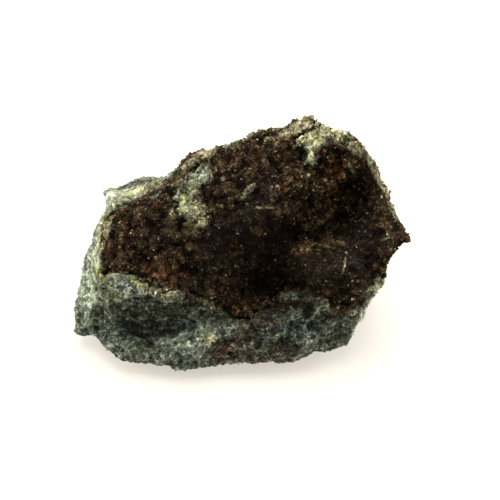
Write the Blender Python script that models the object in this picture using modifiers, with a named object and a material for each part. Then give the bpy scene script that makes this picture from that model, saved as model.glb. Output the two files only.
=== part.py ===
"""A small mineral specimen: a broken block of green-grey rock that lies on one flat face.

Its big upper face leans back. A trough runs across that face and deepens into a cave under the
right-hand rim, and a thin brown crust of small crystals lines all of it, apart from a few
windows where the rock stands through. The block and the crust are two solids.

The block starts as the hull of its broken corners. Voxels give it an even skin, dishes and
knobs are pressed into that skin, and noise breaks it up. The crust is a slice of the same skin.
"""

import math

import bmesh
import bpy
import numpy as np
from mathutils import Vector, noise

MM = 0.001
COLLECTION = "mineral_specimen"

# --- Driving dimensions, in millimetres and degrees -----------------------------------------
# World axes: +X along the block, +Y away from its front, +Z up.

# The crystal face leans back by this much. Places on it are (across, up the face).
FACE_LEAN = math.radians(45)
FACE_MIDDLE = np.array((0.0, -11.0, 11.0))
ACROSS = np.array((1.0, 0.0, 0.0))
UP_FACE = np.array((0.0, math.sin(FACE_LEAN), math.cos(FACE_LEAN)))
OUT_OF_FACE = np.array((0.0, -math.cos(FACE_LEAN), math.sin(FACE_LEAN)))

# The broken corners of the block, as (x, y, z).
RIM_CORNERS = [
    (-19.2, -7.6, 18.5),
    (-11.3, -5.3, 19.6),
    (-8.7, -3.4, 21.0),
    (-4.7, -1.6, 22.0),
    (0.4, -0.7, 23.0),
    (5.1, -0.4, 24.0),
    (7.8, 0.7, 25.0),
    (13.5, -2.0, 24.0),
    (16.9, -7.4, 22.5),
    (18.1, -11.3, 21.5),
    (20.6, -16.3, 18.5),
    (17.6, -17.4, 12.0),
]
FRONT_CORNERS = [
    (-19.4, -18.6, 12.5),
    (-11.8, -20.6, 12.5),
    (-3.3, -22.0, 11.0),
    (0.0, -23.0, 10.0),
    (12.5, -20.7, 9.5),
    (15.4, -18.4, 8.0),
    (13.3, -20.2, 3.0),
    (9.0, -21.9, 2.0),
    (5.9, -23.5, 2.0),
    (-9.4, -24.4, 2.0),
    (-16.4, -23.6, 2.0),
    (-20.4, -20.0, 2.0),
]
LEFT_CORNERS = [
    (-23.5, -17.9, 2.3),
    (-23.9, -15.3, 3.0),
    (-22.6, -9.5, 8.0),
    (-21.3, -8.1, 11.0),
    (-19.8, -6.4, 14.0),
    (-17.6, 0.7, 12.5),
    (-10.7, 1.2, 13.5),
    (-20.5, -3.0, 3.0),
]
BACK_CORNERS = [
    (-14.0, 3.5, 3.0),
    (-4.0, 6.5, 1.5),
    (7.0, 6.5, 2.0),
    (15.0, 2.0, 4.0),
    (-5.0, 4.5, 14.0),
    (8.0, 4.0, 19.0),
    (13.0, 2.5, 17.5),
    (18.0, -7.0, 10.0),
]
# These lie under the resting face, which is cut off flat at z = 0.
BASE_CORNERS = [
    (-15.0, -17.5, -1.2),
    (7.0, -17.5, -1.2),
    (11.0, -11.0, -1.2),
    (6.0, 0.5, -1.2),
    (-9.0, 1.0, -1.2),
    (-17.0, -8.0, -1.2),
]

# Dishes pressed into the leaning face: (across, up), half length, half width, turn, depth.
# The turn is from ACROSS towards UP_FACE, and a negative depth is a swelling.
DISHES = {
    "main_trough": ((5.2, -0.6), 11.0, 4.9, 43.0, 8.2),
    "trough_floor": ((3.0, -4.0), 4.4, 2.8, 62.0, 2.8),
    "cave_under_rim": ((13.8, 6.2), 5.4, 2.4, 76.0, 8.0),
    "rim_foot": ((16.4, -0.2), 3.6, 1.4, 78.0, 3.4),
    "lower_swelling": ((9.2, -2.2), 4.6, 2.4, 4.0, -6.2),
    "swelling_knob": ((7.2, -0.6), 1.5, 1.2, 0.0, -1.4),
    "left_bulge": ((-12.0, 1.0), 7.0, 5.0, 30.0, -0.8),
    "shoulder_step": ((-1.6, 6.2), 3.6, 1.3, 30.0, 1.2),
    "middle_shelf": ((2.4, 4.0), 3.6, 1.4, 12.0, -1.3),
    "top_gully": ((10.6, 10.6), 3.2, 1.5, 60.0, 1.4),
    "ledge": ((-8.4, -6.6), 5.6, 1.2, -8.0, -1.6),
    "front_recess": ((-13.0, -9.9), 6.2, 2.2, -6.0, 4.2),
    "front_lip": ((-7.4, -12.2), 6.4, 1.1, 20.0, -1.6),
    "front_right_hollow": ((8.2, -9.6), 4.4, 1.5, 16.0, 2.2),
    "left_seam": ((-20.4, -9.3), 3.6, 0.8, 84.0, 4.0),
}

# Spots pulled out or pushed in: middle (x, y, z), radius, push (x, y, z).
SPOTS = {
    "right_tip": ((20.6, -16.3, 18.5), 2.2, (0.5, -0.4, -0.6)),
    "rim_below_tip": ((18.8, -16.6, 15.0), 2.6, (-0.5, 0.4, 0.4)),
    "shoulder": ((-9.0, -3.6, 20.8), 2.4, (0.5, -0.2, -0.7)),
    "notch_beside_shoulder": ((-11.2, -3.8, 19.4), 2.4, (0.2, -0.9, -3.0)),
    "ridge_of_the_shelf": ((-15.0, -6.0, 19.0), 3.4, (0.2, -0.1, -1.6)),
    "slope_behind_the_shelf": ((-12.4, -0.4, 15.6), 4.0, (0.3, -0.6, -1.6)),
    "top_dip": ((-3.2, -1.4, 22.4), 3.0, (0.0, -0.3, -1.4)),
    "slope_behind_the_dip": ((-2.8, 1.4, 20.0), 2.8, (0.0, -1.2, -1.3)),
    "peak": ((7.7, 0.8, 24.8), 2.6, (-0.2, 0.0, 0.5)),
    "left_of_peak": ((4.2, -0.3, 23.8), 2.2, (0.3, -0.5, -1.4)),
    "rear_shelf": ((-14.5, 0.9, 13.0), 4.0, (0.0, 0.2, -1.0)),
    "left_corner": ((-19.2, -7.0, 17.6), 3.0, (0.5, -0.1, -0.4)),
    "left_foot": ((-23.6, -16.4, 3.0), 3.0, (0.3, 0.0, 0.0)),
    "left_flank": ((-22.0, -9.0, 9.0), 4.0, (0.7, 0.0, 0.0)),
    "front_foot": ((-9.5, -24.4, 3.0), 5.0, (0.0, -0.9, -0.4)),
    "front_left_foot": ((-16.6, -23.4, 2.0), 2.4, (0.6, 0.9, 0.4)),
    "right_foot": ((13.6, -19.6, 4.2), 3.4, (-0.4, 0.2, 0.1)),
    "upper_right_rim": ((16.9, -7.4, 22.5), 4.0, (0.7, 0.0, 0.4)),
}

# The outline of the crust on the leaning face, as (across, up), anticlockwise from its left corner.
CRUST_OUTLINE = [
    (-20.0, -3.2),
    (-15.2, -3.5),
    (-12.8, -4.4),
    (-8.1, -5.5),
    (-6.0, -6.0),
    (-4.4, -7.2),
    (-2.6, -8.9),
    (0.4, -9.1),
    (2.2, -7.6),
    (3.2, -5.2),
    (5.4, -4.6),
    (8.2, -5.3),
    (10.2, -6.9),
    (13.6, -7.0),
    (16.4, -4.2),
    (22.5, 0.5),
    (19.6, 7.0),
    (17.2, 12.4),
    (13.6, 14.0),
    (11.0, 13.2),
    (9.6, 16.2),
    (8.4, 18.6),
    (0.4, 18.0),
    (-9.2, 13.6),
    (-11.4, 9.6),
    (-16.6, 6.9),
    (-19.4, 4.4),
]
# Windows where the rock stands through the crust.
WINDOWS = {
    "upper_left": [(-9.6, 5.2), (-7.0, 3.4), (-5.6, 5.2), (-7.2, 8.2), (-5.2, 10.4), (-6.2, 12.6), (-8.6, 9.8)],
    "upper_right": [(6.2, 15.2), (7.6, 11.6), (8.8, 11.2), (9.8, 13.4), (12.0, 13.8), (9.4, 16.4)],
}

# The crust's thickness, which thins out to its edge, and the gap to the rock under it.
CRUST_THICKNESS = 1.1
CRUST_EDGE = 0.5
CRUST_GAP = 0.35
# Rounds of averaging that turn the skin's bumpy normals into the calm directions in which the
# crust is thick, and its border into the slope on which it thins out.
CALMING_ROUNDS = 12
THINNING_ROUNDS = 6
# The crust ends where the skin turns this far from the leaning face (the cosine).
LEAST_FACING = -0.1

# Roughness of the skin, each as (height, size across).
ROCK_WAVES = (0.9, 8.0)
ROCK_CHIPS = (1.7, 5.2)
CRUST_LUMPS = (1.7, 2.9)
CRUST_SWELLS = (1.8, 6.5)
# Three places this far apart are read for the three sides of a wandering direction.
NOISE_APART = 31.7

SKIN_VOXEL = 0.55
SKIN_SMOOTHING = 3
SKIN_TRIANGLES = 6200
ROCK_COLOUR = (0.16, 0.20, 0.17, 1.0)
CRUST_COLOUR = (0.07, 0.04, 0.025, 1.0)


def clear_scene():
    for old in list(bpy.data.objects):
        bpy.data.objects.remove(old, do_unlink=True)


def new_object(name, mesh):
    made = bpy.data.objects.new(name, mesh)
    bpy.data.collections[COLLECTION].objects.link(made)
    return made


def evaluated_mesh(obj):
    """The object's mesh with its modifiers applied."""
    bpy.context.view_layer.update()
    graph = bpy.context.evaluated_depsgraph_get()
    return bpy.data.meshes.new_from_object(obj.evaluated_get(graph))


def apply_modifiers(obj):
    mesh = evaluated_mesh(obj)
    obj.modifiers.clear()
    obj.data = mesh


def points_of(mesh):
    """The mesh's vertices in millimetres."""
    flat = np.empty(len(mesh.vertices) * 3)
    mesh.vertices.foreach_get("co", flat)
    return flat.reshape(-1, 3) / MM


def move_points(mesh, points):
    mesh.vertices.foreach_set("co", (points * MM).ravel())
    mesh.update()


def normals_of(mesh):
    flat = np.empty(len(mesh.vertices) * 3)
    mesh.vertices.foreach_get("normal", flat)
    return flat.reshape(-1, 3)


def averaged(mesh, values, rounds):
    """Each vertex's value, averaged with its neighbours' again and again."""
    ends = np.empty(len(mesh.edges) * 2, np.int64)
    mesh.edges.foreach_get("vertices", ends)
    first, second = ends.reshape(-1, 2).T
    shares = 1.0 + np.bincount(ends, minlength=len(mesh.vertices))[:, None]
    for _ in range(rounds):
        total = values.copy()
        np.add.at(total, first, values[second])
        np.add.at(total, second, values[first])
        values = total / shares
    return values


def calm_normals(mesh):
    """The way the skin faces at each vertex, without its small bumps."""
    normals = averaged(mesh, normals_of(mesh), CALMING_ROUNDS)
    return normals / np.linalg.norm(normals, axis=1)[:, None]


def on_face(points):
    """Where points lie on the leaning face, as (across, up)."""
    return np.stack([(points - FACE_MIDDLE) @ ACROSS, (points - FACE_MIDDLE) @ UP_FACE], axis=1)


def inside_outline(places, outline):
    """True for each place that the closed outline goes round."""
    inside = np.zeros(len(places), bool)
    x, y = places[:, 0], places[:, 1]
    for (x0, y0), (x1, y1) in zip(outline, outline[1:] + outline[:1]):
        if y0 == y1:
            continue
        crosses = (y0 > y) != (y1 > y)
        inside ^= crosses & (x < (x1 - x0) * (y - y0) / (y1 - y0) + x0)
    return inside


def dish_depth(places, middle, half_length, half_width, turn, depth):
    """A dish that is deepest in its middle and fades out smoothly at its edge."""
    angle = math.radians(turn)
    away = places - np.array(middle)
    along = (away[:, 0] * math.cos(angle) + away[:, 1] * math.sin(angle)) / half_length
    over = (away[:, 1] * math.cos(angle) - away[:, 0] * math.sin(angle)) / half_width
    return depth / (1.0 + (along**2 + over**2) ** 2)


def broken_block():
    """The hull of the broken corners, as an even skin of small faces."""
    shape = bmesh.new()
    for corner in RIM_CORNERS + FRONT_CORNERS + LEFT_CORNERS + BACK_CORNERS + BASE_CORNERS:
        shape.verts.new(Vector(corner) * MM)
    hull = bmesh.ops.convex_hull(shape, input=shape.verts)
    inner = [v for v in hull["geom_interior"] if isinstance(v, bmesh.types.BMVert)]
    bmesh.ops.delete(shape, geom=inner, context="VERTS")
    mesh = bpy.data.meshes.new("block")
    shape.to_mesh(mesh)
    shape.free()
    block = new_object("block", mesh)
    skin = block.modifiers.new("even skin", "REMESH")
    skin.mode = "VOXEL"
    skin.voxel_size = SKIN_VOXEL * MM
    rounding = block.modifiers.new("worn edges", "SMOOTH")
    rounding.factor = 0.5
    rounding.iterations = SKIN_SMOOTHING
    apply_modifiers(block)
    return block


def wander(point):
    """A direction that changes smoothly from place to place."""
    return Vector([noise.noise(point + Vector((side * NOISE_APART,) * 3)) for side in range(3)])


def mark_crust(block):
    """A vertex group that holds the part of the skin that the crust covers."""
    points = points_of(block.data)
    places = on_face(points)
    ragged = np.array([wander(Vector(p / 2.5))[:2] for p in points]) * 0.7
    covered = inside_outline(places + ragged, CRUST_OUTLINE)
    for outline in WINDOWS.values():
        covered &= ~inside_outline(places + ragged, outline)
    covered &= calm_normals(block.data) @ OUT_OF_FACE > LEAST_FACING
    group = block.vertex_groups.new(name="crust")
    group.add([int(i) for i in np.flatnonzero(covered)], 1.0, "REPLACE")


def weights_of(obj, group_name):
    index = obj.vertex_groups[group_name].index
    weights = np.zeros(len(obj.data.vertices))
    for vertex in obj.data.vertices:
        for entry in vertex.groups:
            if entry.group == index:
                weights[vertex.index] = entry.weight
    return weights


def press_dishes(block):
    """Presses the trough, the cave and the other dishes into the leaning face."""
    points = points_of(block.data)
    places = on_face(points)
    facing = np.clip(calm_normals(block.data) @ OUT_OF_FACE, 0.0, 1.0) ** 2
    depth = sum(dish_depth(places, *dish) for dish in DISHES.values())
    move_points(block.data, points - np.outer(depth * facing, OUT_OF_FACE))


def push_spots(block):
    """Pulls out the tip, the peak and the feet, and pushes in the notch."""
    points = points_of(block.data)
    moves = np.zeros_like(points)
    for middle, radius, push in SPOTS.values():
        nearness = np.exp(-((points - np.array(middle)) ** 2).sum(axis=1) / radius**2)
        moves += np.outer(nearness, push)
    move_points(block.data, points + moves)


def chip_height(point, size):
    """Scoops that meet in sharp ridges, as stone chips: about -0.5 to 0.3."""
    place = point / size + wander(point / size * 1.7) * 0.2
    scoops = []
    for distance, middle in zip(*noise.voronoi(place)):
        tilt = noise.cell_vector(middle * 7.3) - Vector((0.5, 0.5, 0.5))
        scoops.append(tilt.dot(place - middle) + distance**2)
    return min(scoops) - 0.2


def lump_height(point, size):
    """Round knobs pressed against each other, as crystals clump: about -0.4 to 0.4."""
    return 0.4 - noise.voronoi(point / size)[0][0] ** 2


def roughen(block):
    """Breaks up the skin: waves and flakes on the rock, swells and clumps on the crust."""
    points = points_of(block.data)
    normals = normals_of(block.data)
    crust = weights_of(block, "crust")
    moves = np.zeros_like(points)
    for i, place in enumerate(points):
        point = Vector(place)
        waves = noise.noise(point / ROCK_WAVES[1]) * ROCK_WAVES[0]
        if crust[i] > 0.5:
            lumps = lump_height(point, CRUST_LUMPS[1]) * CRUST_LUMPS[0]
            swells = noise.noise(point / CRUST_SWELLS[1]) * CRUST_SWELLS[0]
            moves[i] = normals[i] * waves + OUT_OF_FACE * (lumps + swells)
        else:
            chips = chip_height(point, ROCK_CHIPS[1]) * ROCK_CHIPS[0]
            moves[i] = normals[i] * (waves + chips)
    move_points(block.data, points + moves)


def thin_out(block):
    """Fewer, larger faces where the skin is flat."""
    block.data.calc_loop_triangles()
    fewer = block.modifiers.new("fewer faces", "DECIMATE")
    fewer.ratio = SKIN_TRIANGLES / len(block.data.loop_triangles)
    fewer.use_collapse_triangulate = True
    apply_modifiers(block)


def cut_resting_face(block):
    """Cuts the block off flat at z = 0."""
    shape = bmesh.new()
    shape.from_mesh(block.data)
    everything = shape.verts[:] + shape.edges[:] + shape.faces[:]
    cut = bmesh.ops.bisect_plane(
        shape, geom=everything, dist=1e-7, plane_co=(0, 0, 0), plane_no=(0, 0, -1), clear_outer=True
    )
    rim = [e for e in cut["geom_cut"] if isinstance(e, bmesh.types.BMEdge)]
    bmesh.ops.holes_fill(shape, edges=rim)
    shape.to_mesh(block.data)
    shape.free()


def centre_on_base(block):
    """Moves the block so that the origin is under the middle of its box."""
    points = points_of(block.data)
    low, high = points.min(axis=0), points.max(axis=0)
    shift = np.array(((low[0] + high[0]) / 2, (low[1] + high[1]) / 2, low[2]))
    move_points(block.data, points - shift)
    print(f"origin moved by {shift[0]:.3f}, {shift[1]:.3f}, {shift[2]:.3f} mm")


def crust_patch(shape, covered):
    """The faces that the crust keeps: one sheet that nowhere hangs on by a single point."""
    kept = {f for f in shape.faces if all(v.index in covered for v in f.verts)}
    while True:
        bad = set()
        for vertex in {v for f in kept for v in f.verts}:
            edges = [e for e in vertex.link_edges if sum(f in kept for f in e.link_faces) == 1]
            if len(edges) > 2:
                bad.add(vertex)
        if not bad:
            break
        kept = {f for f in kept if not bad.intersection(f.verts)}
    best = set()
    left = set(kept)
    while left:
        island, edge = set(), {left.pop()}
        while edge:
            island |= edge
            near = {g for f in edge for e in f.edges for g in e.link_faces}
            edge = (near & kept) - island
        left -= island
        if len(island) > len(best):
            best = island
    return best


def split_crust(block):
    """Makes the two solids: the crust, a slice of the skin, and the rock, sunk under it."""
    covered = {int(i) for i in np.flatnonzero(weights_of(block, "crust") > 0.5)}
    points = points_of(block.data)
    shape = bmesh.new()
    shape.from_mesh(block.data)
    patch = crust_patch(shape, covered)
    sunk = sorted({v.index for f in patch for v in f.verts})

    inwards = -calm_normals(block.data)
    under_crust = np.zeros((len(points), 1))
    under_crust[sunk] = 1.0
    from_edge = np.clip(2.0 * averaged(block.data, under_crust, THINNING_ROUNDS) - 1.0, 0.0, 1.0)
    thickness = CRUST_EDGE + (CRUST_THICKNESS - CRUST_EDGE) * from_edge
    underside = (points + inwards * thickness) * MM

    old_index = shape.verts.layers.int.new("old index")
    for vertex in shape.verts:
        vertex[old_index] = vertex.index
    unwanted = [f for f in shape.faces if f not in patch]
    bmesh.ops.delete(shape, geom=unwanted, context="FACES")
    made = bmesh.ops.extrude_face_region(shape, geom=shape.faces[:], use_keep_orig=True)
    for vertex in made["geom"]:
        if isinstance(vertex, bmesh.types.BMVert):
            vertex.co = underside[vertex[old_index]]
    bmesh.ops.recalc_face_normals(shape, faces=shape.faces[:])
    crust_mesh = bpy.data.meshes.new("crystal_crust")
    shape.to_mesh(crust_mesh)
    shape.free()
    crust = new_object("crystal_crust", crust_mesh)

    points[sunk] += inwards[sunk] * (thickness[sunk] + CRUST_GAP)
    move_points(block.data, points)
    return crust


def finish_as(obj, name, colour, roughness):
    """Names the object, gives it its material and shades it flat, as broken stone is."""
    obj.name = name
    obj.data.name = name
    obj.vertex_groups.clear()
    material = bpy.data.materials.new(name)
    material.use_nodes = True
    shader = material.node_tree.nodes["Principled BSDF"]
    shader.inputs["Base Color"].default_value = colour
    shader.inputs["Roughness"].default_value = roughness
    shader.inputs["Metallic"].default_value = 0.0
    obj.data.materials.clear()
    obj.data.materials.append(material)
    obj.data.shade_flat()


def build():
    clear_scene()
    bpy.context.scene.collection.children.link(bpy.data.collections.new(COLLECTION))
    block = broken_block()
    mark_crust(block)
    press_dishes(block)
    push_spots(block)
    roughen(block)
    thin_out(block)
    cut_resting_face(block)
    centre_on_base(block)
    crust = split_crust(block)
    finish_as(block, "host_rock", ROCK_COLOUR, 0.8)
    finish_as(crust, "crystal_crust", CRUST_COLOUR, 0.5)


build()
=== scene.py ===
# %% [markdown]
# # A rock specimen with a crust of small brown crystals
# A collector's piece: one broken block of green-grey rock that lies on a flat face. Its big
# upper face leans back and is hollowed by a trough, and hot water once lined that face with
# thousands of brown crystals, each smaller than a millimetre. The solids of the block and of
# the crust come from the frame. This lesson gives them the skin, the grains and the colours.

# %% Load the frame
import math

import bpy
import numpy as np
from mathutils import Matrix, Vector
from mathutils.bvhtree import BVHTree


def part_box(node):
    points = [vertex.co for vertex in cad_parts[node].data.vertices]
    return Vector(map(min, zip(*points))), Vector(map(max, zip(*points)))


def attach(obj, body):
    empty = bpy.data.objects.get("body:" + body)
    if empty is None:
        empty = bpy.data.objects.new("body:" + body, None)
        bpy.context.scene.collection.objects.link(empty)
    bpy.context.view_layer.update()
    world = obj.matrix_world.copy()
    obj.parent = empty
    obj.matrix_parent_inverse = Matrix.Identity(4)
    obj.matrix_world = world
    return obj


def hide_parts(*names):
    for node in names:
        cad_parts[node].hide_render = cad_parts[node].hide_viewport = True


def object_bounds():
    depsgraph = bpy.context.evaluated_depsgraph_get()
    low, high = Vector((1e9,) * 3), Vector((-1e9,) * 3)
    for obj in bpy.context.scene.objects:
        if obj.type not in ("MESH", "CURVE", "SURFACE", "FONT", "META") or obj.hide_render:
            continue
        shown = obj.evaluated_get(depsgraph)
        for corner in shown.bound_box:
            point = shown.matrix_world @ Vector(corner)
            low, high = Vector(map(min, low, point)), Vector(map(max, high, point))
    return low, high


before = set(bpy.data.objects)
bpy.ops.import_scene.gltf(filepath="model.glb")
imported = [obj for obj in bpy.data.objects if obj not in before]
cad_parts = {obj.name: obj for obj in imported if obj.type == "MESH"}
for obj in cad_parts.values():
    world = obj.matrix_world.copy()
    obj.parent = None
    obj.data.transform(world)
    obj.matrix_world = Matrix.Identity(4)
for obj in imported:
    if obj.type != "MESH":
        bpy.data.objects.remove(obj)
cad_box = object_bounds()
MM = 0.001
for solid_name in ("host_rock", "crystal_crust"):
    low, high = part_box(solid_name)
    print(solid_name, "measures", [round((b - a) / MM, 1) for a, b in zip(low, high)], "mm")

# %% [markdown]
# ## A plane to point with
# Nearly everything worth naming on this stone sits on the leaning face. So places are given in
# millimetres on that face, as (across, up), the way you would point at them with a finger. The
# camera looks straight at the same plane, so these places are also easy to find in a render. A
# painted mask could mark them too, but an oval written down says what it marks.

# %% Places on the leaning face
LEAN = math.radians(45)
FACE_MIDDLE = np.array((1.39, -2.155, 11.0))
ACROSS = np.array((1.0, 0.0, 0.0))
UP_FACE = np.array((0.0, math.sin(LEAN), math.cos(LEAN)))
OUT_OF_FACE = np.array((0.0, -math.cos(LEAN), math.sin(LEAN)))


def on_face(points):
    """Where points in millimetres lie on the leaning face, as two rows: across and up."""
    away = points - FACE_MIDDLE
    return away @ ACROSS, away @ UP_FACE


def spot(points, across, up, length, width, turn=0.0, strength=1.0):
    """The strength in the middle of an oval on the face, fading to 0 outside it.

    Length and width are measured from the middle, and the turn is in degrees.
    """
    a, u = on_face(points)
    angle = math.radians(turn)
    along = ((a - across) * math.cos(angle) + (u - up) * math.sin(angle)) / length
    over = ((u - up) * math.cos(angle) - (a - across) * math.sin(angle)) / width
    return strength * np.exp(-(along**2 + over**2))


def spots(points, ovals):
    """Several ovals added up into one number for each point."""
    return sum(spot(points, *oval) for oval in ovals)


print("the leaning face has its middle at", FACE_MIDDLE, "mm")


# %% [markdown]
# ## Camera, floor and light
# The stone stands in a white tent. Broad soft lights come from above, from behind and from both
# sides, so the rims and the left side glow while the front lies in its own shade. A long lens
# from far away keeps the stone's proportions true.

# %% Camera
LENS_MM = 180
DISTANCE = 0.33575
camera = bpy.data.objects.new("camera", bpy.data.cameras.new("camera"))
bpy.context.scene.collection.objects.link(camera)
bpy.context.scene.camera = camera
camera.data.lens = LENS_MM
camera.data.sensor_width = 36
camera.data.clip_start = 0.01
camera.location = FACE_MIDDLE * MM + OUT_OF_FACE * DISTANCE
camera.rotation_euler = (math.pi / 2 - LEAN, 0, 0)
print("camera", round(DISTANCE / MM), "mm from the stone")

# %% Floor
bpy.ops.object.select_all(action="DESELECT")
bpy.ops.mesh.primitive_plane_add(size=3)
floor = bpy.context.object
floor.name = "floor"
paper = bpy.data.materials.new("white_paper")
paper.use_nodes = True
paper_inputs = paper.node_tree.nodes["Principled BSDF"].inputs
paper_inputs["Base Color"].default_value = (0.42, 0.395, 0.35, 1)
paper_inputs["Roughness"].default_value = 0.9
paper_inputs["Emission Color"].default_value = (1.0, 0.94, 0.84, 1)
paper_inputs["Emission Strength"].default_value = 0.54
floor.data.materials.append(paper)

# %% Light
# Each has its place and its size in metres, and its power in watts.
TENT_LIGHTS = {
    "top": ((0.0, 0.15, 0.60), 0.60, 5.0),
    "left": ((-0.60, 0.10, 0.14), 0.50, 6.0),
    "right": ((0.60, 0.12, 0.18), 0.50, 4.5),
    "back": ((0.0, 0.60, 0.30), 0.60, 5.0),
    "front": ((0.0, -0.50, 0.50), 0.50, 0.6),
}
for name, (place, size, power) in TENT_LIGHTS.items():
    light = bpy.data.objects.new(name + "_light", bpy.data.lights.new(name + "_light", "AREA"))
    bpy.context.scene.collection.objects.link(light)
    light.location = place
    light.data.size = size
    light.data.energy = power
    toward = FACE_MIDDLE * MM - np.array(place)
    pitch = math.atan2(math.hypot(toward[0], toward[1]), -toward[2])
    light.rotation_euler = (pitch, 0, math.atan2(-toward[0], toward[1]))
world = bpy.data.worlds.new("tent")
bpy.context.scene.world = world
world.use_nodes = True
world.node_tree.nodes["Background"].inputs["Color"].default_value = (1.0, 0.99, 0.97, 1)
world.node_tree.nodes["Background"].inputs["Strength"].default_value = 0.30
bpy.context.scene.view_settings.view_transform = "Standard"
print(len(TENT_LIGHTS), "soft lights")

# %% [markdown]
# ## Tools for the skins
# The solids from the frame have large flat faces, and a broken stone has grain on every one of
# them. One way is to subdivide a solid, but long thin faces stay long and thin. So each solid is
# copied, the copy is covered with a fresh net of even squares, a voxel remesh, and small pushes
# in and out roughen that net. These helpers do what a hand does in the window: they select, copy,
# add a modifier and apply it.


# %% Select, copy and apply
def deselect():
    bpy.ops.object.select_all(action="DESELECT")


def use(obj):
    """Makes this object the only selected one, which is what an operator acts on."""
    deselect()
    obj.select_set(True)
    bpy.context.view_layer.objects.active = obj


def solid_copy(name, solid):
    """A copy of a frame solid whose loose triangles are merged into one skin."""
    copy = bpy.data.objects.new(name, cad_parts[solid].data.copy())
    bpy.context.scene.collection.objects.link(copy)
    copy.data.materials.clear()
    use(copy)
    bpy.ops.object.mode_set(mode="EDIT")
    bpy.ops.mesh.select_all(action="SELECT")
    bpy.ops.mesh.remove_doubles(threshold=0.001 * MM)
    bpy.ops.object.mode_set(mode="OBJECT")
    return copy


def apply(obj, kind, **settings):
    """Adds one modifier with these settings and applies it."""
    use(obj)
    modifier = obj.modifiers.new(kind.lower(), kind)
    for key, value in settings.items():
        setattr(modifier, key, value)
    bpy.ops.object.modifier_apply(modifier=modifier.name)


# %% Read and move the points of a skin
def points_of(obj):
    """The object's vertices, in millimetres."""
    flat = np.empty(len(obj.data.vertices) * 3)
    obj.data.vertices.foreach_get("co", flat)
    return flat.reshape(-1, 3) / MM


def move_points(obj, points):
    obj.data.vertices.foreach_set("co", (points * MM).ravel())
    obj.data.update()


def normals_of(obj):
    flat = np.empty(len(obj.data.vertices) * 3)
    obj.data.vertices.foreach_get("normal", flat)
    return flat.reshape(-1, 3)


def keep_in_box(obj):
    """No grain may stand out of the box of the solids, or reach under the resting face."""
    low, high = (np.array(corner) / MM for corner in cad_box)
    move_points(obj, np.clip(points_of(obj), low, high))


# %% Push a skin in and out
def push(obj, kind, size, height, middle=0.5, **look):
    """Pushes a skin in and out by a pattern of this size and height, in millimetres."""
    pattern = bpy.data.textures.new(kind.lower(), kind)
    pattern.noise_scale = size * MM
    for key, value in look.items():
        setattr(pattern, key, value)
    lift = {"strength": height * MM, "mid_level": middle}
    apply(obj, "DISPLACE", texture=pattern, texture_coords="LOCAL", **lift)


# %% [markdown]
# ## The bed of the crust
# The crystals of a crust grow out of one another, in clusters with dark gaps between them. They
# could stand on a smooth sheet, but the sheet would show between them. So the crust gets a lumpy
# bed first: clouds for the clusters, then round cells of two sizes. The bed is sunk a little, so
# that the crystals on it end about where the solid of the crust does.


# %% Throw away crumbs
def largest_piece(obj):
    """Keeps the largest piece of a skin and throws away the crumbs that hang loose beside it."""
    name = obj.name
    use(obj)
    bpy.ops.mesh.separate(type="LOOSE")
    *crumbs, piece = sorted(bpy.context.selected_objects, key=lambda part: len(part.data.vertices))
    for crumb in crumbs:
        bpy.data.objects.remove(crumb)
    piece.name = name
    return piece


# %% Crust bed
BED_VOXEL = 0.24
CRYSTAL_REACH = 0.2
crust = solid_copy("crust_bed", "crystal_crust")
apply(crust, "REMESH", mode="VOXEL", voxel_size=BED_VOXEL * MM)
crust = largest_piece(crust)
apply(crust, "SMOOTH", factor=0.5, iterations=3)
apply(crust, "DISPLACE", strength=-CRYSTAL_REACH * MM / 2, mid_level=0.0)
move_points(crust, points_of(crust) - OUT_OF_FACE * CRYSTAL_REACH / 2)
print("crust bed:", len(crust.data.polygons), "squares")

# %% Lumps in the crust
THIN_RIMS = {
    "upper right rim": (15.4, 11.0, 4.4, 1.8, -55),
    "right rim": (18.8, 5.4, 3.4, 1.2, -66),
}
LEAST_LUMPS = 0.4
even = points_of(crust)
lively = np.clip(1 - spots(even, THIN_RIMS.values()), LEAST_LUMPS, 1)[:, None]
push(crust, "CLOUDS", size=2.2, height=0.9, noise_depth=1)
push(crust, "VORONOI", size=1.3, height=-0.9, middle=0.45)
push(crust, "VORONOI", size=0.6, height=-0.4, middle=0.4)

# The rims stand free of the rock and are thin. Full pushes would tear holes in them.
move_points(crust, even + (points_of(crust) - even) * lively)
keep_in_box(crust)
print("lumps move the bed by up to", round(float(np.abs(points_of(crust) - even).max()), 1), "mm")

# %% [markdown]
# ## The skin of the rock
# The block gets the same kind of net. Between the two skins lies a gap, and an edge of the crust
# would float over a dark slit. The rock could be pulled up to the crust point by point, but
# a second copy of the crust, moved inwards and joined to the block before the remesh, fills the
# gap in one go.

# %% Rock skin
SKIN_VOXEL = 0.25
FILLING_SHRINK = 0.1
FILLING_DEPTH = 0.9
rock = solid_copy("rock_block", "host_rock")
filling = solid_copy("filling", "crystal_crust")
apply(filling, "DISPLACE", strength=-FILLING_SHRINK * MM, mid_level=0.0)
move_points(filling, points_of(filling) - OUT_OF_FACE * FILLING_DEPTH)
use(rock)
filling.select_set(True)
bpy.ops.object.join()
apply(rock, "REMESH", mode="VOXEL", voxel_size=SKIN_VOXEL * MM)
apply(rock, "SMOOTH", factor=0.5, iterations=2)
print("rock skin:", len(rock.data.polygons), "squares")

# %% [markdown]
# ## Swellings
# The solids have the large forms. The smaller ones, a knob, a foot or a ledge of one to three
# millimetres, could be sculpted with a brush. Here each stroke of the brush is written down: an
# oval on the leaning face, and the step that its middle takes. Strokes on or beside the crust move
# both skins, so that they stay together. The rock's own strokes shape its front and trim its foot.
# They also lift its windows, where it comes through nearly as high as the crust around it.

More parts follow.
